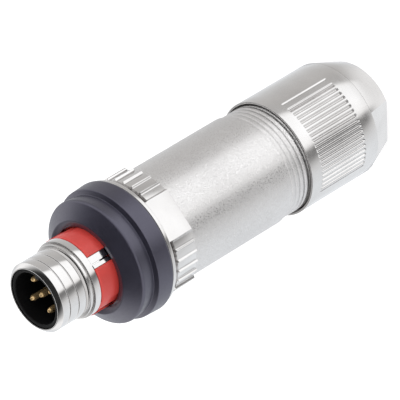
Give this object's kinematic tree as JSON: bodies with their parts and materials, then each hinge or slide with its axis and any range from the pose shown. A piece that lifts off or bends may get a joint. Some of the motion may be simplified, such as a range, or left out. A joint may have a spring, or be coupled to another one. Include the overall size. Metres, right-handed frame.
{
  "type": "m12 connector",
  "caption": "Field-wireable round cable plug with a threaded metal sleeve, gold contacts, a push-on lock ring, a knurled grip and a ribbed cap nut.",
  "frame": {"origin": "centre of the cap nut's rear face, on which the connector stands", "axes": "+Z along the connector's axis, from the cable entry to the mating face"},
  "size_m": [0.0228, 0.0228, 0.073],
  "materials": {
    "nickel": "bright nickel plate",
    "satin_nickel": "satin nickel plate",
    "black_plastic": "matte moulded plastic",
    "red_plastic": "satin moulded plastic",
    "insert_plastic": "matte moulded plastic",
    "gold": "gold plate",
    "spring_steel": "plain",
    "grey_plastic": "matte moulded plastic",
    "rubber": "matte",
    "white_plastic": "smooth"
  },
  "bodies": {
    "housing": {"housing_shell": "satin_nickel", "snap_ring": "spring_steel", "slip_washer": "white_plastic", "contact_carrier": "insert_plastic", "carrier_seal": "rubber", "terminal_block": "grey_plastic", "shield_ring": "spring_steel", "clamp_cage": "grey_plastic", "cable_seal": "rubber", "contact_pin_1": "gold", "terminal_screw_1": "spring_steel", "contact_pin_2": "gold", "terminal_screw_2": "spring_steel", "contact_pin_3": "gold", "terminal_screw_3": "spring_steel", "contact_pin_4": "gold", "terminal_screw_4": "spring_steel", "contact_pin_5": "gold", "terminal_screw_5": "spring_steel"},
    "coupling": {"coupling_sleeve": "nickel", "latch_collar": "red_plastic", "grip_ring": "nickel"},
    "lock": {"lock_ring": "black_plastic", "stop_ring": "spring_steel"},
    "thrust": {"thrust_ring": "grey_plastic"},
    "cap": {"cap_nut": "nickel"}
  },
  "joints": [
    {"name": "coupling_turn", "type": "hinge", "parent": "housing", "child": "coupling", "pos_m": [0, 0, 0.065], "axis": [0, 0, 1], "continuous": true},
    {"name": "lock_slide", "type": "slide", "parent": "coupling", "child": "lock", "axis": [0, 0, 1], "range_m": [0, 0.0032]},
    {"name": "cap_advance", "type": "slide", "parent": "housing", "child": "thrust", "axis": [0, 0, 1], "range_m": [-0.00305, 0.00205]},
    {"name": "cap_turn", "type": "hinge", "parent": "thrust", "child": "cap", "pos_m": [0, 0, 0.01], "axis": [0, 0, 1], "range_deg": [-1080, 720]}
  ],
  "couplings": [
    {"joint": "cap_advance", "follows": "cap_turn", "m_per_rad": 0.00015915}
  ]
}
